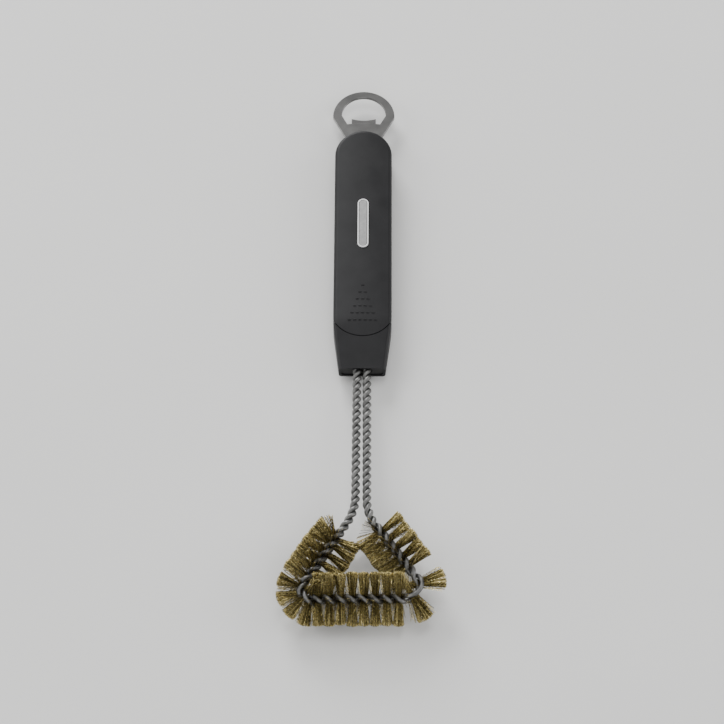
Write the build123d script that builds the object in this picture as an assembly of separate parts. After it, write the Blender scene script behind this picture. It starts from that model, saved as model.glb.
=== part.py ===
from build123d import *
import math
import os

# Grill cleaning brush, in millimetres. It lies front face up: +Z up, +Y from the bristle head to
# the bottle opener, +X to the right. The pieces are drawn from a datum at the neck end of the
# handle, on its centre line and on the plane of its flat back. The last step moves them all, so
# that the origin is at the bottom centre of the whole brush.

# ---- driving dimensions ----
HANDLE_WIDTH = 39.0
HANDLE_THICKNESS = 20.0
HANDLE_LENGTH = 191.2
NECK_WIDTH = 31.0
NECK_THICKNESS = 10.4
TAPER_START = 34.0        # where the sides begin to narrow towards the neck
CROWN_RADIUS = 127.0
FRONT_EDGE_RADIUS = 2.8
BACK_EDGE_RADIUS = 2.2
SEAM_MIDDLE = 23.5        # the curved parting line, on the centre line
SEAM_RADIUS = 21.2
SEAM_GAP = 0.55
WALL = 2.6
CAVITY_TOP = 16.4

WIRE_DIAMETER = 2.9
TWIST_START = 0.99        # angle of the twist at the left shaft's end, in radians
SHAFT_PITCH = 11.23       # length of one full turn of the twist: in both shafts,
LEFT_PITCH = 14.2         # along the left side of the loop,
BOTTOM_PITCH = 14.55      # round the left corner and along the bottom side,
OPENED_PITCH = 52.0       # round the right corner, where the twist has opened,
RIGHT_PITCH = 14.9        # and along the right side,
RIGHT_OVERRUN = 4.0       # which keeps its twist this far past the last tuft
FILL_THICKNESS = 0.7      # the layer of filaments held between the two wires
SHAFT_SPACING = 6.5       # between the two shafts, at the neck
HEAD_SPACING = 7.4        # the same, where they part to form the loop
BRISTLE_RADIUS = 17.9

LOOP_LEFT = (-43.0, -173.5)      # corners of the bristled loop, before rounding
LOOP_RIGHT = (45.8, -172.4)
LEFT_CORNER_RADIUS = 7.0
RIGHT_CORNER_RADIUS = 9.5
LEFT_BEND = (-109.8, 40.0)       # where the left shaft turns into the loop, and its radius
RIGHT_BEND = (-112.0, 36.0)
LEFT_BARE = 10.5                 # bare wire between a shaft's bend and the first tuft
RIGHT_BARE = 1.0

TANG_HALF = 11.5
ANCHOR_BOTTOM = 5.5
ANCHOR_TOP = 14.5
BADGE_FLOOR = 19.55
BADGE_BACK = 19.8
PLUG_WIDTH = 28.0
PLUG_HEIGHT = 7.4
PLUG = (0.9, 7.0)

OPENER_THICKNESS = 2.0
OPENER_CENTRE = 209.05
OPENER_RADIUS = 21.35
OPENER_SHOULDER = 1.3     # how far below the centre the straight sides begin
EYE_CENTRE = 209.8
EYE_RADIUS = 15.35

BADGE_LENGTH = 39.6
BADGE_WIDTH = 7.3
BADGE_CENTRE = 112.7

SCREW_RADIUS = 1.5
SCREW_HEAD_RADIUS = 3.0
SCREW_SEAT = 3.0
SCREW_TIP = 18.2
TANG_SCREWS = [(0, 158), (0, 180)]
MIDDLE_SCREWS = [(0, 104)]
ANCHOR_SCREWS = [(-11.5, 56), (11.5, 56)]

FIT = 0.03                # clearance between pieces that are held against each other

# ---- worked out from them ----
MID = HANDLE_THICKNESS / 2
HALF = HANDLE_WIDTH / 2
END_CENTRE = HANDLE_LENGTH - HALF
SEAM_CENTRE = SEAM_MIDDLE + SEAM_RADIUS
SLOPE_START = TAPER_START - 2
NECK_RISE = (HANDLE_THICKNESS - NECK_THICKNESS) / 2
WIRE_RADIUS = WIRE_DIAMETER / 2
SHAFT_OFFSET = WIRE_RADIUS + FIT
HEAD_OFFSET = WIRE_RADIUS + FILL_THICKNESS / 2 + FIT
ROPE_RADIUS = SHAFT_OFFSET + WIRE_RADIUS
HEAD_ROPE_RADIUS = HEAD_OFFSET + WIRE_RADIUS
ANCHOR = (45.0, 67.0)
SLEEVE = (67.4, 81.0)
WIRE_END = 83.0
HEAD_HEIGHT = BRISTLE_RADIUS


# ---- small helpers ----
def slab(outline, low, high):
    """An upright prism over a closed outline, from one height to another."""
    return Pos(0, 0, low) * extrude(make_face(outline), high - low)


def post(radius, spot, low, high):
    """An upright round post over an (x, y) spot."""
    return Pos(spot[0], spot[1], low) * extrude(Circle(radius), high - low)


def block(x, y, z):
    """A box given by its low and high limits along each axis."""
    size = [high - low for low, high in (x, y, z)]
    centre = [(high + low) / 2 for low, high in (x, y, z)]
    return Pos(*centre) * Box(*size)


def along_y(sketch, y):
    """Extrude a sketch of the XZ plane, from the first y to the second."""
    return extrude(Plane(origin=(0, y[0], MID), x_dir=(-1, 0, 0), z_dir=(0, 1, 0)) * sketch, y[1] - y[0])


# ---- the handle's outer form, shared by both shells and the collar ----
def handle_outline(inset=0.0):
    """Plan of the handle: tapered neck, straight sides, round end."""
    half = HALF - inset
    neck = NECK_WIDTH / 2 - inset
    right = FilletPolyline((neck, 0), (half, TAPER_START), (half, END_CENTRE), radius=120)
    left = FilletPolyline((-half, END_CENTRE), (-half, TAPER_START), (-neck, 0), radius=120)
    end = ThreePointArc((half, END_CENTRE), (0, END_CENTRE + half), (-half, END_CENTRE))
    return Line((-neck, 0), (neck, 0)) + right + end + left


def outside_face(level, side, crown_radius=None):
    """All the space beyond the front (side 1) or back (side -1) face, which slopes in at the neck."""
    reach = 30
    start = -12
    slope = NECK_RISE / SLOPE_START
    spine = FilletPolyline(
        (0, start, level - side * slope * (SLOPE_START - start)),
        (0, SLOPE_START, level),
        (0, HANDLE_LENGTH + reach, level),
        radius=90,
    )
    section = Plane(origin=spine @ 0, x_dir=(1, 0, 0), z_dir=spine % 0)
    out = side if section.y_dir.Z > 0 else -side
    if crown_radius:
        drop = -out * (crown_radius - math.sqrt(crown_radius**2 - reach**2))
        edge = ThreePointArc((-reach, drop), (0, 0), (reach, drop))
    else:
        drop = 0
        edge = Line((-reach, 0), (reach, 0))
    rest = Polyline((reach, drop), (reach, reach * out), (-reach, reach * out), (-reach, drop))
    return sweep(section * make_face(edge + rest), path=spine)


def handle_form():
    """The closed outer form of the handle, with its edges rounded."""
    form = slab(handle_outline(), -1, HANDLE_THICKNESS + 1)
    form -= outside_face(HANDLE_THICKNESS, 1, CROWN_RADIUS)
    form -= outside_face(0, -1)

    def long_edges(low, high):
        found = []
        for edge in form.edges():
            middle = edge.center()
            crosses = abs(middle.X) < 1 and middle.Y < END_CENTRE
            if low < middle.Z < high and not crosses:
                found.append(edge)
        return found

    form = fillet(long_edges(MID + NECK_THICKNESS / 2, HANDLE_THICKNESS + 1), FRONT_EDGE_RADIUS)
    return fillet(long_edges(-1, MID - NECK_THICKNESS / 2 - 0.1), BACK_EDGE_RADIUS)


def behind_seam(gap=0.0):
    """The space on the opener side of the curved parting line."""
    span = (-1, HANDLE_THICKNESS + 1)
    bow = post(SEAM_RADIUS + gap, (0, SEAM_CENTRE), *span)
    return bow + block((-HANDLE_WIDTH, HANDLE_WIDTH), (SEAM_CENTRE, HANDLE_LENGTH + 5), span)


def cavity(clearance=0.0):
    """The hollow inside the shells. The collar's spigot fills its open end."""
    return slab(handle_outline(WALL + clearance), WALL + clearance, CAVITY_TOP - clearance)


# ---- handle pieces ----
def grip_dashes():
    """Small raised dashes, bevelled on top, in rows that grow from one to six towards the neck."""
    length = 2.2
    width = 0.9
    bevel = 0.3
    across = 3.45
    along = 5.5
    last_row = 35.2
    proud = 0.4
    rooted = 1.7
    dash = Box(length, width, proud + rooted)
    dash = chamfer(dash.edges().group_by(Axis.Z)[-1], bevel)
    dashes = []
    for count in range(1, 7):
        y = last_row + along * (6 - count)
        for place in range(count):
            x = across * (place - (count - 1) / 2)
            crown = HANDLE_THICKNESS - (CROWN_RADIUS - math.sqrt(CROWN_RADIUS**2 - x**2))
            dashes.append(Pos(x, y, crown + (proud - rooted) / 2) * dash)
    return dashes


def handle_shell(form, low, high):
    """The part of the hollow handle between two heights, behind the parting line."""
    shell = form & behind_seam()
    shell &= block((-HALF - 1, HALF + 1), (0, HANDLE_LENGTH + 1), (low, high))
    shell -= cavity()
    slot = OPENER_THICKNESS / 2 + FIT
    tang = TANG_HALF + FIT
    shell -= block((-tang, tang), (END_CENTRE, HANDLE_LENGTH + 1), (MID - slot, MID + slot))
    return shell


def handle_front_shell(form):
    boss = 4.0
    tang_face = MID + OPENER_THICKNESS / 2 + FIT
    shell = handle_shell(form, MID, HANDLE_THICKNESS + 1)
    for spots, low in ((TANG_SCREWS, tang_face), (MIDDLE_SCREWS, MID), (ANCHOR_SCREWS, ANCHOR_TOP)):
        for spot in spots:
            shell += post(boss, spot, low, CAVITY_TOP + 0.5)
            shell -= post(SCREW_RADIUS + FIT, spot, low - 1, SCREW_TIP + 0.4)
    shell -= slab(badge_capsule(-0.1), BADGE_FLOOR, HANDLE_THICKNESS + 1)
    return shell + grip_dashes()


def handle_rear_shell(form):
    boss = 4.8
    hole = SCREW_RADIUS + 0.2
    tang_face = MID - OPENER_THICKNESS / 2 - FIT
    shell = handle_shell(form, -1, MID)
    for spots, high in ((TANG_SCREWS, tang_face), (MIDDLE_SCREWS, MID), (ANCHOR_SCREWS, ANCHOR_BOTTOM)):
        for spot in spots:
            shell += post(boss, spot, WALL - 0.5, high)
            shell -= post(hole, spot, -1, high + 1)
            shell -= post(SCREW_HEAD_RADIUS + 0.3, spot, -1, SCREW_SEAT)
    return shell


def neck_collar(form):
    """The tapered sleeve in front of the parting line, with a spigot that enters the shells."""
    collar = form - behind_seam(SEAM_GAP)
    spigot = (SEAM_MIDDLE - 6, ANCHOR[0] - 1)
    collar += cavity(0.1) & block((-HALF, HALF), spigot, (0, HANDLE_THICKNESS))
    collar -= along_y(RectangleRounded(PLUG_WIDTH, PLUG_HEIGHT, 2.4), (-1, PLUG[1]))
    passage = SlotOverall(SHAFT_SPACING + 2 * ROPE_RADIUS + 0.7, 2 * ROPE_RADIUS + 0.7)
    return collar - along_y(passage, (0, spigot[1] + 1))


def neck_plug():
    """The end plug, set back a little from the end of the collar, round both shafts."""
    plug = along_y(RectangleRounded(PLUG_WIDTH - 2 * FIT, PLUG_HEIGHT - 2 * FIT, 2.4 - FIT), PLUG)
    hole = SlotOverall(SHAFT_SPACING + 2 * ROPE_RADIUS + 0.5, 2 * ROPE_RADIUS + 0.4)
    return plug - along_y(hole, (PLUG[0] - 1, PLUG[1] + 1))


def shell_screws():
    """Pan-head screws from the back, all alike."""
    screws = []
    for spot in TANG_SCREWS + MIDDLE_SCREWS + ANCHOR_SCREWS:
        head_bottom = SCREW_SEAT - 2.1
        head = post(SCREW_HEAD_RADIUS, spot, head_bottom, SCREW_SEAT)
        head = fillet(head.edges().group_by(Axis.Z)[0], 0.8)
        screw = head + post(SCREW_RADIUS, spot, SCREW_SEAT, SCREW_TIP)
        for long, wide in ((3.4, 0.8), (0.8, 3.4)):
            screw -= Pos(spot[0], spot[1], head_bottom) * Box(long, wide, 2.2)
        screws.append(screw)
    return Compound(screws)


def wire_anchor_block():
    """The moulded block that holds both shafts in line inside the handle."""
    side = HALF - WALL - 0.15
    body = block((-side, side), ANCHOR, (ANCHOR_BOTTOM + FIT, ANCHOR_TOP - FIT))
    body = fillet(body.edges().filter_by(Axis.Z), 1.5)
    passage = SlotOverall(SHAFT_SPACING + 2 * ROPE_RADIUS + 0.1, 2 * ROPE_RADIUS + 0.1)
    body -= along_y(passage, (ANCHOR[0] - 1, ANCHOR[1] + 1))
    for spot in ANCHOR_SCREWS:
        body -= post(SCREW_RADIUS + 0.2, spot, 0, HANDLE_THICKNESS)
    return body


def crimp_sleeve():
    """The pressed double ferrule that stops both wire ends behind the anchor block."""
    body = along_y(SlotOverall(SHAFT_SPACING + 9.0, 9.0), SLEEVE)
    for side in (-1, 1):
        hole = Pos(side * SHAFT_SPACING / 2, 0) * Circle(ROPE_RADIUS + FIT)
        body -= along_y(hole, (SLEEVE[0] - 1, SLEEVE[1] + 1))
    return body


# ---- bottle opener ----
def opener_outline():
    """Plan of the plate: round over the top, then straight sides that run in to the tang."""
    tang_end = 150.0
    tang_top = 188.8
    low = OPENER_CENTRE - OPENER_SHOULDER
    side = math.sqrt(OPENER_RADIUS**2 - OPENER_SHOULDER**2)
    top = ThreePointArc((side, low), (0, OPENER_CENTRE + OPENER_RADIUS), (-side, low))
    rest = Polyline(
        (-side, low), (-TANG_HALF, tang_top), (-TANG_HALF, tang_end),
        (TANG_HALF, tang_end), (TANG_HALF, tang_top), (side, low),
    )
    return make_face(top + rest)


def opener_eye():
    """Plan of the hole: round over the top, narrowing to a bottom edge that bows up a little."""
    side = (EYE_RADIUS - 0.1, EYE_CENTRE)
    corner = (11.4, OPENER_CENTRE - 6.6)
    bow = 0.7
    left_side = (-side[0], side[1])
    left_corner = (-corner[0], corner[1])
    return make_face(
        ThreePointArc(side, (0, EYE_CENTRE + EYE_RADIUS), left_side)
        + Line(left_side, left_corner)
        + ThreePointArc(left_corner, (0, corner[1] + bow), corner)
        + Line(corner, side)
    )


def lifting_tongue(low):
    """The lowered tongue that catches a cap, with a hollow front edge."""
    tip = (8.4, OPENER_CENTRE - 0.8)
    root = OPENER_CENTRE - 11.0
    edge = OPENER_CENTRE - 6.9
    hollow = 1.4
    outline = Polyline((-tip[0], tip[1]), (-tip[0], root), (tip[0], root), tip)
    outline += ThreePointArc(tip, (0, tip[1] - hollow), (-tip[0], tip[1]))
    tongue = slab(outline, low - OPENER_THICKNESS, low + 0.3)
    tongue -= block((-tip[0], tip[0]), (edge, tip[1] + 1), (low, MID))
    return chamfer(tongue.edges().group_by(Axis.Z)[0], 0.25)


def bottle_opener():
    """A stamped plate with an eye, a tang held in the handle and a lowered lifting tongue."""
    low = MID - OPENER_THICKNESS / 2
    plate = Pos(0, 0, low) * extrude(opener_outline() - opener_eye(), OPENER_THICKNESS)
    rims = plate.edges().group_by(Axis.Z)
    plate = chamfer(rims[0] + rims[-1], 0.25)
    plate += lifting_tongue(low)
    for spot in TANG_SCREWS:
        plate -= post(SCREW_RADIUS + 0.2, spot, 0, HANDLE_THICKNESS)
    return plate


# ---- badge ----
def badge_capsule(inset=0.0):
    """Plan of the badge: a capsule along the handle."""
    half = BADGE_WIDTH / 2 - inset
    reach = BADGE_LENGTH / 2 - BADGE_WIDTH / 2
    low = BADGE_CENTRE - reach
    high = BADGE_CENTRE + reach
    return (
        Line((half, low), (half, high))
        + ThreePointArc((half, high), (0, high + half), (-half, high))
        + Line((-half, high), (-half, low))
        + ThreePointArc((-half, low), (0, low - half), (half, low))
    )


def badge_pad():
    return slab(badge_capsule(0.05), BADGE_FLOOR, BADGE_BACK)


def badge_rim():
    rim = slab(badge_capsule(), BADGE_BACK, BADGE_BACK + 0.85)
    rim = fillet(rim.edges().group_by(Axis.Z)[-1], 0.3)
    return rim - slab(badge_capsule(0.75), BADGE_BACK - 1, HANDLE_THICKNESS + 2)


def badge_inlay():
    inlay = slab(badge_capsule(1.1), BADGE_BACK, BADGE_BACK + 0.75)
    return fillet(inlay.edges().group_by(Axis.Z)[-1], 0.25)


# ---- twisted wire stem ----
def stem_path():
    """Centre line of the twisted pair: down the left shaft, round the loop, up the right shaft."""
    shaft = SHAFT_SPACING / 2
    part = HEAD_SPACING / 2
    return FilletPolyline(
        (-shaft, WIRE_END, MID),
        (-shaft, 3, MID),
        (-part, LEFT_BEND[0], HEAD_HEIGHT),
        (LOOP_LEFT[0], LOOP_LEFT[1], HEAD_HEIGHT),
        (LOOP_RIGHT[0], LOOP_RIGHT[1], HEAD_HEIGHT),
        (part, RIGHT_BEND[0], HEAD_HEIGHT),
        (shaft, 3, MID),
        (shaft, WIRE_END, MID),
        radius=[60, LEFT_BEND[1], LEFT_CORNER_RADIUS, RIGHT_CORNER_RADIUS, RIGHT_BEND[1], 60],
    )


class Stem:
    """The centre line with its twist: where it is, and which way the two wires face, at a length."""

    def __init__(self):
        self.path = stem_path()
        self.length = self.path.length
        self.legs = self.path.edges().sort_by(self.path)
        stations = [0.0]
        for leg in self.legs:
            stations.append(stations[-1] + leg.length)
        self.stations = stations
        self.fill_start = stations[4] + LEFT_BARE
        self.fill_end = stations[9] - RIGHT_BARE
        self.twist_legs = [
            (0.0, self.fill_start, SHAFT_PITCH),
            (self.fill_start, stations[5], LEFT_PITCH),
            (stations[5], stations[7], BOTTOM_PITCH),
            (stations[7], stations[8], OPENED_PITCH),
            (stations[8], self.fill_end + RIGHT_OVERRUN, RIGHT_PITCH),
            (self.fill_end + RIGHT_OVERRUN, self.length, SHAFT_PITCH),
        ]

    def turn(self, s):
        """Angle of the first wire round the centre line, in radians."""
        turns = 0.0
        for start, end, pitch in self.twist_legs:
            turns += (min(max(s, start), end) - start) / pitch
        return TWIST_START + 2 * math.pi * turns

    def offset(self, s):
        """How far each wire's centre is from the centre line."""
        easing = 8.0
        inside = min(s - self.fill_start, self.fill_end - s)
        share = min(max(1 + inside / easing, 0), 1)
        return SHAFT_OFFSET + (HEAD_OFFSET - SHAFT_OFFSET) * share

    def axes(self, s):
        """Place, direction, and the directions across the flat and edge of the twist."""
        place = self.path.position_at(s / self.length)
        along = self.path.tangent_at(s / self.length)
        level = along.cross(Vector(0, 0, 1)).normalized()
        other = along.cross(level)
        angle = self.turn(s)
        to_wire = level * math.cos(angle) + other * math.sin(angle)
        to_tips = other * math.cos(angle) - level * math.sin(angle)
        return place, along, to_wire, to_tips

    def wire(self, side):
        """One of the two wires, as a single solid made of short swept spans."""
        points_per_turn = 10
        spans = 14
        steps = int(points_per_turn * self.turn(self.length) / (2 * math.pi))
        points = []
        for step in range(steps + 1):
            s = self.length * step / steps
            place, _, to_wire, _ = self.axes(s)
            points.append(place + to_wire * (side * self.offset(s)))
        line = Spline(points)
        tubes = []
        for span in range(spans):
            piece = line.trim(span / spans, (span + 1) / spans)
            section = Plane(origin=piece @ 0, z_dir=piece % 0) * Circle(WIRE_RADIUS)
            tubes.append(sweep(section, path=piece, is_frenet=True))
        return tubes[0].fuse(*tubes[1:])

    def ribbon(self, start, end):
        """The helical layer of filaments along a straight side of the loop."""
        place, along, _, to_tips = self.axes(start)
        section = Plane(origin=place, x_dir=to_tips, z_dir=along)
        section *= Rectangle(2 * BRISTLE_RADIUS, FILL_THICKNESS)
        turned = math.degrees(self.turn(end) - self.turn(start))
        return Solid.extrude_linear_with_rotation(section.face(), place, along * (end - start), turned)


def half_space(origin, toward, gap):
    """A large box on one side of an upright plane, a small gap away from it."""
    size = 400
    plane = Plane(origin=Vector(*origin), z_dir=toward)
    return plane * Pos(0, 0, size / 2 + gap) * Box(size, size, size)


def bisector(corner, first, second):
    """Direction across the plane that halves the angle at a corner, pointing to the first side."""
    to_first = (Vector(*first) - Vector(*corner)).normalized()
    to_second = (Vector(*second) - Vector(*corner)).normalized()
    return to_first - to_second


def bristles_corner(stem, arc, radius):
    """The outer fan of filaments round one rounded corner of the loop."""
    place, along, _, _ = stem.axes(stem.stations[arc] + 1e-6)
    inward = Vector(0, 0, 1).cross(along)
    centre = place + inward * radius
    near = radius + HEAD_ROPE_RADIUS + FIT
    far = radius + BRISTLE_RADIUS
    section = Plane(origin=centre, x_dir=-inward, z_dir=along)
    section *= Pos((near + far) / 2, 0) * Rectangle(far - near, 2 * FILL_THICKNESS)
    sweep_angle = math.degrees((stem.stations[arc + 1] - stem.stations[arc]) / radius)
    return revolve(section, Axis(centre, (0, 0, 1)), sweep_angle)


def bristles(stem):
    """Five groups of filaments: one along each side of the loop and one round each outer corner."""
    marks = stem.stations
    left_bisector = bisector(LOOP_LEFT, (-HEAD_SPACING / 2, LEFT_BEND[0]), LOOP_RIGHT)
    right_bisector = bisector(LOOP_RIGHT, (HEAD_SPACING / 2, RIGHT_BEND[0]), LOOP_LEFT)
    rightward = Vector(1, 0)
    gap = 0.1
    left = stem.ribbon(stem.fill_start, marks[5])
    left = left & half_space(LOOP_LEFT, left_bisector, gap) & half_space((0, 0), -rightward, gap)
    bottom = stem.ribbon(marks[6], marks[7])
    bottom = bottom & half_space(LOOP_LEFT, -left_bisector, gap)
    bottom = bottom & half_space(LOOP_RIGHT, -right_bisector, gap)
    right = stem.ribbon(marks[8], stem.fill_end)
    right = right & half_space(LOOP_RIGHT, right_bisector, gap) & half_space((0, 0), rightward, gap)
    return {
        "bristles_left_side": left,
        "bristles_left_corner": bristles_corner(stem, 5, LEFT_CORNER_RADIUS),
        "bristles_bottom_side": bottom,
        "bristles_right_corner": bristles_corner(stem, 7, RIGHT_CORNER_RADIUS),
        "bristles_right_side": right,
    }


def build():
    form = handle_form()
    stem = Stem()
    pieces = {
        "handle_front_shell": handle_front_shell(form),
        "handle_rear_shell": handle_rear_shell(form),
        "neck_collar": neck_collar(form),
        "neck_plug": neck_plug(),
        "shell_screws": shell_screws(),
        "wire_anchor_block": wire_anchor_block(),
        "crimp_sleeve": crimp_sleeve(),
        "bottle_opener": bottle_opener(),
        "badge_pad": badge_pad(),
        "badge_rim": badge_rim(),
        "badge_inlay": badge_inlay(),
        "stem_wire_a": stem.wire(1),
        "stem_wire_b": stem.wire(-1),
    }
    pieces.update(bristles(stem))
    return pieces


def bottom_centre(pieces):
    """The middle of the whole brush's box in plan, at its lowest height."""
    box = Compound(children=[Compound(piece.solids()) for piece in pieces.values()]).bounding_box()
    return Vector(box.center().X, box.center().Y, box.min.Z)


def main():
    pieces = build()
    origin = bottom_centre(pieces)
    print("datum moved by", origin)
    os.makedirs("parts", exist_ok=True)
    for name, piece in pieces.items():
        export_step(Pos(-origin) * piece, f"parts/{name}.step")


main()
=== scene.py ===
import math

import bpy
import numpy as np
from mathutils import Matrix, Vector


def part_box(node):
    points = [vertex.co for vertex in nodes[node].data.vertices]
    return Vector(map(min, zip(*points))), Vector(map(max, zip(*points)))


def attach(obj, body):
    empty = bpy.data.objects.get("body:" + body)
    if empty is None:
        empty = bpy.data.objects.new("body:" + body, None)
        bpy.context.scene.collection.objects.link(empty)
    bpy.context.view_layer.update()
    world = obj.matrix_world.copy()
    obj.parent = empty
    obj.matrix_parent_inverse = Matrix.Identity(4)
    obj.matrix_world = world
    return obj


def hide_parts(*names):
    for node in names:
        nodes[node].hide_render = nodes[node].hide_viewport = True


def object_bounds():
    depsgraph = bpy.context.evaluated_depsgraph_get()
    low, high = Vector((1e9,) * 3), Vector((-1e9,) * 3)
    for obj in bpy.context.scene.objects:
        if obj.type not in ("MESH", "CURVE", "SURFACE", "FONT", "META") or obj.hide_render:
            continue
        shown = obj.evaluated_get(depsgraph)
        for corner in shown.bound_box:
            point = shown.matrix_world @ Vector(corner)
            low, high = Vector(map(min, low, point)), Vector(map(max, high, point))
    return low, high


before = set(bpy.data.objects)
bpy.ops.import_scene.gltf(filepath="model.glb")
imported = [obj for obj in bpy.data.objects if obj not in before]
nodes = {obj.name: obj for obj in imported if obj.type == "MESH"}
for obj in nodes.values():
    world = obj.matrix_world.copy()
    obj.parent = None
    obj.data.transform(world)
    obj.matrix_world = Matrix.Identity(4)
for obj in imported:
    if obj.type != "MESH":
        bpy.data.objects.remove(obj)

cad_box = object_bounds()

# ---- places taken from the frame ----
MM = 0.001
collar_low, collar_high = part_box("neck_collar")
back_low, back_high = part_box("handle_rear_shell")
# datum of the stem's route: the middle of the collar's end, on the plane of the handle's back
NECK = Vector(((back_low.x + back_high.x) / 2, collar_low.y, back_low.z))

# ---- the stem: the same route and twist as its CAD solids, in millimetres from the neck ----
WIRE_RADIUS = 1.45
TWIST_START = 0.99
SHAFT_PITCH = 11.23
LEFT_PITCH = 14.2
BOTTOM_PITCH = 14.55
OPENED_PITCH = 52.0
RIGHT_PITCH = 14.9
RIGHT_OVERRUN = 4.0
FILL_THICKNESS = 0.7
FIT = 0.03
BRISTLE_RADIUS = 17.9
HANDLE_MID = 10.0
HEAD_HEIGHT = BRISTLE_RADIUS
ROUTE = [
    (-3.25, 83.0, HANDLE_MID),
    (-3.25, 3.0, HANDLE_MID),
    (-3.7, -109.8, HEAD_HEIGHT),
    (-43.0, -173.5, HEAD_HEIGHT),
    (45.8, -172.4, HEAD_HEIGHT),
    (3.7, -112.0, HEAD_HEIGHT),
    (3.25, 3.0, HANDLE_MID),
    (3.25, 83.0, HANDLE_MID),
]
ROUTE_RADII = [60.0, 40.0, 7.0, 9.5, 36.0, 60.0]
LEFT_BARE = 10.5         # bare wire between a shaft's bend and the first tuft
RIGHT_BARE = 1.0


def unit(v):
    """The same directions with length one."""
    return v / np.linalg.norm(v, axis=-1, keepdims=True)


class Stem:
    """Centre line of the twisted pair and the direction of the twist, at any length along it."""

    def __init__(self, step=0.4):
        points = [np.array(p) for p in ROUTE]
        samples = [points[0]]
        arc_ends = []
        for before, corner, after, radius in zip(points, points[1:], points[2:], ROUTE_RADII):
            back = unit(before - corner)
            ahead = unit(after - corner)
            half = math.acos(float(np.dot(back, ahead))) / 2
            centre = corner + unit(back + ahead) * radius / math.sin(half)
            first = corner + back * radius / math.tan(half) - centre
            last = corner + ahead * radius / math.tan(half) - centre
            turn = math.pi - 2 * half
            count = max(6, math.ceil(radius * turn / step))
            arc_ends.append(len(samples))
            for k in range(count + 1):
                t = k / count
                swing = math.sin((1 - t) * turn) * first + math.sin(t * turn) * last
                samples.append(centre + swing / math.sin(turn))
            arc_ends.append(len(samples) - 1)
        samples.append(points[-1])
        self.samples = np.array(samples)
        steps = np.linalg.norm(np.diff(self.samples, axis=0), axis=1)
        self.reach = np.concatenate([[0], np.cumsum(steps)])
        self.length = self.reach[-1]
        marks = [self.reach[i] for i in arc_ends]
        self.fill_start = marks[3] + LEFT_BARE
        self.left_corner = (marks[4], marks[5])
        self.right_corner = (marks[6], marks[7])
        self.fill_end = marks[8] - RIGHT_BARE
        self.twist_legs = [
            (0.0, self.fill_start, SHAFT_PITCH),
            (self.fill_start, marks[4], LEFT_PITCH),
            (marks[4], marks[6], BOTTOM_PITCH),
            (marks[6], marks[7], OPENED_PITCH),
            (marks[7], self.fill_end + RIGHT_OVERRUN, RIGHT_PITCH),
            (self.fill_end + RIGHT_OVERRUN, self.length, SHAFT_PITCH),
        ]

    def place(self, s):
        """Point on the centre line."""
        return np.stack([np.interp(s, self.reach, self.samples[:, k]) for k in range(3)], -1)

    def along(self, s):
        """Direction of the centre line."""
        reach = 0.3
        return unit(self.place(s + reach) - self.place(s - reach))

    def turn(self, s):
        """Angle of the first wire round the centre line, in radians."""
        turns = sum((np.clip(s, start, end) - start) / pitch for start, end, pitch in self.twist_legs)
        return TWIST_START + 2 * np.pi * turns

    def offset(self, s):
        """How far each wire's centre is from the centre line."""
        easing = 8.0
        inside = np.minimum(s - self.fill_start, self.fill_end - s)
        return WIRE_RADIUS + FIT + FILL_THICKNESS / 2 * np.clip(1 + inside / easing, 0, 1)

    def spoke(self, s, angle):
        """Direction square to the centre line, at an angle round it."""
        along = self.along(s)
        level = unit(np.cross(along, (0.0, 0.0, 1.0)))
        other = np.cross(along, level)
        return level * np.cos(angle)[..., None] + other * np.sin(angle)[..., None]


def in_frame(points):
    """Millimetres from the neck to metres in the frame."""
    return points * MM + np.array(NECK)


# ---- meshes ----
def tubes(name, centres, radius, sides):
    """One mesh of many round tubes. centres is (tubes, points, 3), radius (tubes, points)."""
    many, count, _ = centres.shape
    along = np.gradient(centres, axis=1)
    along = unit(along)
    helper = np.where(np.abs(along[:, :1, 2:3]) < 0.9, (0.0, 0.0, 1.0), (1.0, 0.0, 0.0))
    side = unit(np.cross(along[:, 0], helper[:, 0]))
    rings = np.empty((many, count, sides, 3))
    angles = np.arange(sides) * 2 * np.pi / sides
    for k in range(count):
        side = unit(side - along[:, k] * np.sum(side * along[:, k], -1, keepdims=True))
        other = np.cross(along[:, k], side)
        spoke = side[:, None] * np.cos(angles)[:, None] + other[:, None] * np.sin(angles)[:, None]
        rings[:, k] = centres[:, k, None] + spoke * radius[:, k, None, None]
    ring = np.arange(sides)
    quad = np.stack([ring, np.roll(ring, -1), np.roll(ring, -1) + sides, ring + sides], -1)
    level = np.arange(count - 1)[:, None, None] * sides
    walls = (quad[None] + level).reshape(-1, 4)
    starts = np.arange(many)[:, None, None] * count * sides
    walls = (walls[None] + starts).reshape(-1, 4)
    caps = np.stack([ring[::-1], ring + (count - 1) * sides])
    caps = (caps[None] + starts).reshape(-1, sides)
    mesh = bpy.data.meshes.new(name)
    mesh.vertices.add(many * count * sides)
    mesh.vertices.foreach_set("co", rings.reshape(-1))
    loops = np.concatenate([walls.reshape(-1), caps.reshape(-1)])
    mesh.loops.add(len(loops))
    mesh.loops.foreach_set("vertex_index", loops)
    sizes = np.concatenate([np.full(len(walls), 4), np.full(len(caps), sides)])
    mesh.polygons.add(len(sizes))
    mesh.polygons.foreach_set("loop_start", np.concatenate([[0], np.cumsum(sizes)[:-1]]))
    smooth = np.concatenate([np.ones(len(walls), bool), np.zeros(len(caps), bool)])
    mesh.polygons.foreach_set("use_smooth", smooth)
    mesh.update(calc_edges=True)
    mesh.validate()
    piece = bpy.data.objects.new(name, mesh)
    bpy.context.scene.collection.objects.link(piece)
    return piece


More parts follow.
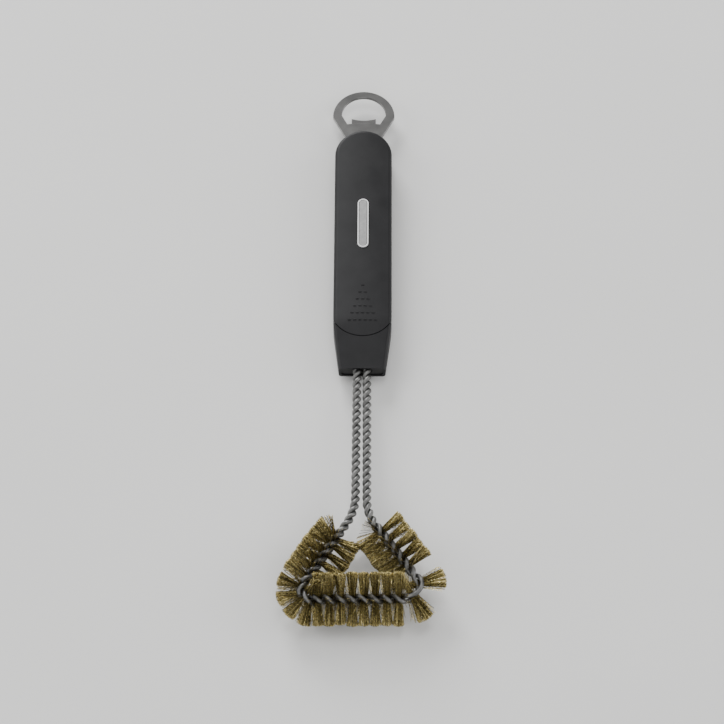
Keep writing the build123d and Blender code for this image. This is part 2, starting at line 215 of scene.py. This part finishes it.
# ---- materials ----
def material(name, colour, roughness, metallic=0.0):
    """A new node material and its shader."""
    made = bpy.data.materials.new(name)
    made.use_nodes = True
    shader = made.node_tree.nodes["Principled BSDF"]
    shader.inputs["Base Color"].default_value = (*colour, 1)
    shader.inputs["Roughness"].default_value = roughness
    shader.inputs["Metallic"].default_value = metallic
    return made, shader


def noise(made, scale, detail=3.0, stretch=(1, 1, 1)):
    """Noise in object space; scale is in cycles per metre."""
    tree = made.node_tree
    place = tree.nodes.new("ShaderNodeTexCoord")
    mapping = tree.nodes.new("ShaderNodeMapping")
    mapping.inputs["Scale"].default_value = stretch
    texture = tree.nodes.new("ShaderNodeTexNoise")
    texture.inputs["Scale"].default_value = scale
    texture.inputs["Detail"].default_value = detail
    tree.links.new(place.outputs["Object"], mapping.inputs["Vector"])
    tree.links.new(mapping.outputs["Vector"], texture.inputs["Vector"])
    return texture


def paint(made, shader, factor, stops):
    """Base colour along a factor: stops is a list of (position, colour)."""
    ramp = made.node_tree.nodes.new("ShaderNodeValToRGB")
    first, last = ramp.color_ramp.elements
    first.position, last.position = stops[0][0], stops[-1][0]
    first.color, last.color = (*stops[0][1], 1), (*stops[-1][1], 1)
    for position, colour in stops[1:-1]:
        ramp.color_ramp.elements.new(position).color = (*colour, 1)
    made.node_tree.links.new(factor, ramp.inputs["Fac"])
    made.node_tree.links.new(ramp.outputs["Color"], shader.inputs["Base Color"])


def vary(made, shader, socket, factor, low, high):
    """Let a shader value run from low to high with a factor."""
    span = made.node_tree.nodes.new("ShaderNodeMapRange")
    span.inputs["To Min"].default_value = low
    span.inputs["To Max"].default_value = high
    made.node_tree.links.new(factor, span.inputs["Value"])
    made.node_tree.links.new(span.outputs["Result"], shader.inputs[socket])


def bump(made, shader, height, strength, depth):
    """Surface relief, depth in metres."""
    node = made.node_tree.nodes.new("ShaderNodeBump")
    node.inputs["Strength"].default_value = strength
    node.inputs["Distance"].default_value = depth
    made.node_tree.links.new(height, node.inputs["Height"])
    made.node_tree.links.new(node.outputs["Normal"], shader.inputs["Normal"])


def mottled(name, low, high, roughness, scale, metallic=0.0):
    """A material whose colour and roughness drift in patches, scale in cycles per metre."""
    middle = [(a + b) / 2 for a, b in zip(low, high)]
    made, shader = material(name, middle, roughness[0], metallic)
    patches = noise(made, scale).outputs["Fac"]
    paint(made, shader, patches, [(0.3, low), (0.7, high)])
    vary(made, shader, "Roughness", patches, *roughness)
    return made, shader


def grey(name, low, high, roughness, scale, metallic=0.0):
    """A mottled material between two levels of neutral grey."""
    return mottled(name, (low,) * 3, (high,) * 3, roughness, scale, metallic)[0]


def black_plastic():
    """Matte moulded plastic with a fine spark-eroded grain."""
    dark, light = (0.008, 0.008, 0.009), (0.013, 0.013, 0.014)
    made, shader = mottled("black_plastic", dark, light, (0.44, 0.56), 60)
    shader.inputs["Specular IOR Level"].default_value = 0.22
    grain = noise(made, 2600, 2)
    bump(made, shader, grain.outputs["Fac"], 0.35, 0.00006)
    return made


def plug_rubber():
    """Dull black rubber."""
    made, shader = mottled("plug_rubber", (0.009,) * 3, (0.015,) * 3, (0.6, 0.8), 900)
    grain = noise(made, 1500)
    bump(made, shader, grain.outputs["Fac"], 0.3, 0.0001)
    return made


def brushed_steel():
    """Stamped plate with fine lines across it."""
    made, shader = material("brushed_steel", (0.15, 0.15, 0.15), 0.3, 1.0)
    cloud = noise(made, 70)
    stops = [(0.3, (0.12, 0.12, 0.118)), (0.7, (0.18, 0.178, 0.175))]
    paint(made, shader, cloud.outputs["Fac"], stops)
    lines = noise(made, 900, 4, (0.08, 3.0, 1.0))
    vary(made, shader, "Roughness", lines.outputs["Fac"], 0.24, 0.42)
    bump(made, shader, lines.outputs["Fac"], 0.25, 0.00002)
    return made


def galvanised_wire():
    """Drawn zinc-coated wire, dulled in patches."""
    made, shader = material("galvanised_wire", (0.4, 0.4, 0.39), 0.38, 1.0)
    patches = noise(made, 350, 4)
    stops = [(0.3, (0.11, 0.11, 0.106)), (0.55, (0.18, 0.18, 0.176)), (0.75, (0.26, 0.26, 0.254))]
    paint(made, shader, patches.outputs["Fac"], stops)
    vary(made, shader, "Roughness", patches.outputs["Fac"], 0.42, 0.58)
    pits = noise(made, 2200, 3)
    bump(made, shader, pits.outputs["Fac"], 0.3, 0.00004)
    return made


def brass_filament():
    """Drawn brass, each filament a slightly different colour at random, with painted shade, painted
    light and painted glints carried in its colour attribute.
    """
    made, shader = material("brass_filament", (0.45, 0.36, 0.14), 0.3, 1.0)
    # the colour attribute holds each filament's own colour together with painted shade near the wires,
    # painted light at the tips and painted glints
    tone_and_painted_light = made.node_tree.nodes.new("ShaderNodeAttribute")
    tone_and_painted_light.attribute_name = "tone_and_painted_light"
    stops = [(0.0, (0.04, 0.03, 0.01)), (0.45, (0.23, 0.184, 0.064)), (1.0, (0.9, 0.76, 0.36))]
    paint(made, shader, tone_and_painted_light.outputs["Fac"], stops)
    tarnish = noise(made, 500, 3)
    vary(made, shader, "Roughness", tarnish.outputs["Fac"], 0.2, 0.36)
    return made


def floor_paint():
    """Pale matte paint."""
    return mottled("floor_paint", (0.7, 0.7, 0.69), (0.74, 0.74, 0.73), (0.55, 0.7), 3)[0]


def dress_nodes():
    """Give each kept CAD node its material."""
    plastic = black_plastic()
    dark = plug_rubber()
    looks = {
        "handle_front_shell": plastic,
        "handle_rear_shell": plastic,
        "neck_collar": plastic,
        "neck_plug": dark,
        "badge_pad": dark,
        "badge_rim": grey("badge_white", 0.78, 0.84, (0.25, 0.4), 1500),
        "badge_inlay": grey("badge_grey", 0.26, 0.34, (0.3, 0.42), 400),
        "bottle_opener": brushed_steel(),
        "shell_screws": grey("black_screw", 0.05, 0.07, (0.32, 0.52), 800, 1.0),
        "crimp_sleeve": grey("aluminium", 0.54, 0.66, (0.32, 0.52), 800, 1.0),
        "wire_anchor_block": grey("grey_plastic", 0.09, 0.12, (0.5, 0.65), 1200),
    }
    for name, look in looks.items():
        slots = nodes[name].material_slots
        if not slots:
            nodes[name].data.materials.append(look)
        for place in slots:
            place.material = look


# ---- the stem's wires ----
def make_wires(stem, look):
    """Both wires as round tubes, wound round the centre line."""
    s = np.linspace(0, stem.length, 1800)
    shift = stem.spoke(s, stem.turn(s)) * stem.offset(s)[:, None]
    for side, node in ((1, "stem_wire_a"), (-1, "stem_wire_b")):
        line = stem.place(s) + side * shift
        radius = np.full((1, len(s)), WIRE_RADIUS * MM)
        piece = tubes("wire_" + node[-1], in_frame(line)[None], radius, 18)
        piece.data.materials.append(look)
        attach(piece, "root")
        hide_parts(node)


# ---- bristles ----
# The picture's line of sight. A tuft leaves the wires where they are stacked along it, and the
# tuft's flat side faces it.
STACKED = (0.0, -0.53, 0.85)
FILAMENTS = 200                  # in each end of a tuft
STRAY_SHARE = 0.22               # filaments of a tuft that aren't gathered with the rest
POINTS = 23                      # along each filament
FILAMENT_RADIUS = 0.16
CRIMP_LENGTH = 2.3
CRIMP_HEIGHT = 0.15
HALF_WIDTH = 0.26                # of a tuft at the wires, as a share of the wire it has
SPREAD = 0.75                    # how much a tuft widens from the wires to its tips
SPREAD_CURVE = 1.3
GATHERED = 0.08                  # share of the wires' twist that a tuft's filaments follow
THICKNESS = 0.13                 # how far filaments leave the tuft's plane, in radians
SHORTEST_TRIM = 0.15             # tips stay this far inside the bristles' radius
TRIM_VARIATION = 0.6             # between tufts, and between the filaments of one tuft
ROUNDING = 0.2                   # how much shorter a tuft is at its sides
TIP_SCATTER = 0.4
BEND = 0.3                       # sideways bend of a filament at its tip


def tuft_middles(stem, start, end):
    """Lengths at which the wires are stacked, one for each half turn."""
    s = np.arange(start, end, 0.05)
    stacked = np.abs(stem.spoke(s, stem.turn(s)) @ np.array(STACKED))
    peak = (stacked[1:-1] > stacked[:-2]) & (stacked[1:-1] >= stacked[2:])
    return list(s[1:-1][peak])


def tuft_filaments(stem, middle, room, flare, lean, rng):
    """Centre lines of a tuft's crimped filaments, both ways out from the wires.

    middle is where the tuft leaves the wires and room is the length of wire that it has. flare
    scales how it widens, and lean moves its tips along the wires.
    """
    count = 2 * FILAMENTS
    way = np.tile([1.0, -1.0], FILAMENTS)
    loose = rng.random(count) < STRAY_SHARE
    reach = np.where(loose, 0.5, HALF_WIDTH)
    s = middle + room * reach * rng.uniform(-1, 1, count)
    s = np.clip(s, stem.fill_start, stem.fill_end)
    follow = np.where(loose, 1.0, GATHERED)
    angle = follow * (stem.turn(s) - stem.turn(middle)) + rng.normal(0, THICKNESS, count)
    along = stem.along(s)
    flat = unit(np.cross(along, STACKED))
    raised = np.cross(along, flat)
    out = (flat * np.cos(angle)[:, None] + raised * np.sin(angle)[:, None]) * way[:, None]
    tuft_trim = SHORTEST_TRIM + abs(rng.normal(0, TRIM_VARIATION))
    trim = tuft_trim + ROUNDING * (s - middle) ** 2 + np.abs(rng.normal(0, TRIM_VARIATION, count))
    length = (BRISTLE_RADIUS - trim)[:, None, None]
    drift = lean + flare * SPREAD * (s - middle) + rng.normal(0, TIP_SCATTER * flare, count)
    drift = drift[:, None, None]
    t = np.linspace(0, 1, POINTS)[None, :, None]
    line = stem.place(s)[:, None] + out[:, None] * t * length
    line += along[:, None] * t**SPREAD_CURVE * drift
    sway = unit(np.cross(out, rng.normal(0, 1, (count, 3))))[:, None]
    line += sway * t**2 * rng.normal(0, BEND, (count, 1, 1))
    phase = rng.uniform(0, 2 * np.pi, (count, 1, 1))
    wave = np.sin(t * length * 2 * np.pi / CRIMP_LENGTH + phase)
    line += np.cross(out[:, None], sway) * wave * CRIMP_HEIGHT * np.clip(t * 4, 0, 1)
    return line


def make_tuft(stem, name, node, middle, room, flare, lean, look, rng):
    """One tuft as a mesh. Its colour varies at random between filaments, with painted shade towards
    the wires, painted light at the tips and painted glints along each filament.
    """
    centre = in_frame(tuft_filaments(stem, middle, room, flare, lean, rng))
    margin = 0.0002
    centre = np.clip(centre, np.array(cad_box[0]) + margin, np.array(cad_box[1]) - margin)
    count = len(centre)
    piece = tubes(name, centre, np.full((count, POINTS), FILAMENT_RADIUS * MM), 3)
    # painted shade and light: each filament darkens towards the wires and brightens past its own
    # colour towards its tips
    shade = np.linspace(0.35, 1.2, POINTS)
    # the spread between filaments is the brass's own colour; the change from point to point along a
    # filament is painted glints
    tone_and_painted_light = rng.normal(0.5, 0.3, (count, 1)) + rng.normal(0, 0.15, (count, POINTS))
    tone_and_painted_light = np.repeat(np.clip(tone_and_painted_light * shade, 0, 1), 3, axis=1)
    attribute = piece.data.attributes.new("tone_and_painted_light", "FLOAT", "POINT")
    attribute.data.foreach_set("value", tone_and_painted_light.reshape(-1).astype(np.float32))
    piece.data.materials.append(look)
    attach(piece, "root")
    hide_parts(node)


def make_bristles(stem, look):
    """Tufts along the loop's sides and round its corners, with one more where the left side begins."""
    rng = np.random.default_rng(7)
    left_start, left_end = stem.left_corner
    right_start, right_end = stem.right_corner
    fan_tufts = 4
    fan_room = (left_end - left_start) / fan_tufts
    left_fan = left_start + fan_room * (np.arange(fan_tufts) + 0.5)
    right_fan = right_start + (right_end - right_start) * np.array([0.27, 0.8])
    # group, middles of its tufts, room for each, flare, lean
    groups = [
        ("left_side", [stem.fill_start + 1.5], LEFT_PITCH / 2, 1.5, -2.5),
        ("left_side", tuft_middles(stem, stem.fill_start, left_start), LEFT_PITCH / 2, 1.0, 0.0),
        ("left_corner", left_fan, fan_room, 0.8, 0.0),
        ("bottom_side", tuft_middles(stem, left_end, right_start), BOTTOM_PITCH / 2, 1.0, 0.0),
        ("right_corner", right_fan, BOTTOM_PITCH / 2, 0.5, 0.0),
        ("right_side", tuft_middles(stem, right_end + 3, stem.fill_end), RIGHT_PITCH / 2, 1.2, 0.0),
    ]
    for group, middles, room, flare, lean in groups:
        for middle in middles:
            name = f"tuft_{group}_{round(middle)}"
            make_tuft(stem, name, "bristles_" + group, middle, room, flare, lean, look, rng)


# ---- stage ----
def make_floor():
    """A square of floor on the plane that the brush lies on."""
    size = 6.0
    mesh = bpy.data.meshes.new("floor")
    corners = [(-size, -size, 0), (size, -size, 0), (size, size, 0), (-size, size, 0)]
    mesh.from_pydata(corners, [], [(0, 1, 2, 3)])
    floor = bpy.data.objects.new("floor", mesh)
    bpy.context.scene.collection.objects.link(floor)
    floor.data.materials.append(floor_paint())


def aim(thing, place, target):
    """Put a light or camera at a place, looking at a target."""
    thing.location = place
    thing.rotation_euler = (Vector(target) - Vector(place)).to_track_quat("-Z", "Y").to_euler()


def make_light(name, place, target, width, power):
    data = bpy.data.lights.new(name, "AREA")
    data.size = width
    data.energy = power
    light = bpy.data.objects.new(name, data)
    bpy.context.scene.collection.objects.link(light)
    aim(light, place, target)


def make_lights():
    """A large key light from beyond the opener, and soft light from every other side."""
    centre = (0, 0, 0)
    make_light("key", (-1.26, 3.42, 1.8), centre, 1.8, 168)
    make_light("overhead", (0.1, 0.4, 2.3), centre, 0.9, 10)
    make_light("left_side", (-3.15, 0.42, 1.47), centre, 2.1, 53)
    make_light("right_side", (3.15, 0.42, 1.47), centre, 2.1, 53)
    make_light("front_fill", (0.45, -2.4, 1.95), centre, 1.8, 27)
    world = bpy.data.worlds.new("studio")
    bpy.context.scene.world = world
    world.use_nodes = True
    world.node_tree.nodes["Background"].inputs["Color"].default_value = (1, 1, 1, 1)
    world.node_tree.nodes["Background"].inputs["Strength"].default_value = 0.5


def make_camera():
    """A long lens above the bristle end, turned a little so that the brush leans to the right."""
    elevation = math.radians(58)
    heading = math.radians(0.33)
    distance = 2.069
    target = Vector((NECK.x - 0.0001, NECK.y + 0.008, NECK.z + 0.010))
    away = Vector((math.sin(heading), -math.cos(heading), 0)) * math.cos(elevation)
    data = bpy.data.cameras.new("camera")
    data.sensor_width = 36
    data.lens = 155.3
    data.clip_end = 20
    camera = bpy.data.objects.new("camera", data)
    bpy.context.scene.collection.objects.link(camera)
    aim(camera, target + (away + Vector((0, 0, math.sin(elevation)))) * distance, target)
    bpy.context.scene.camera = camera


make_camera()
make_floor()
make_lights()
dress_nodes()
stem = Stem()
make_wires(stem, galvanised_wire())
make_bristles(stem, brass_filament())
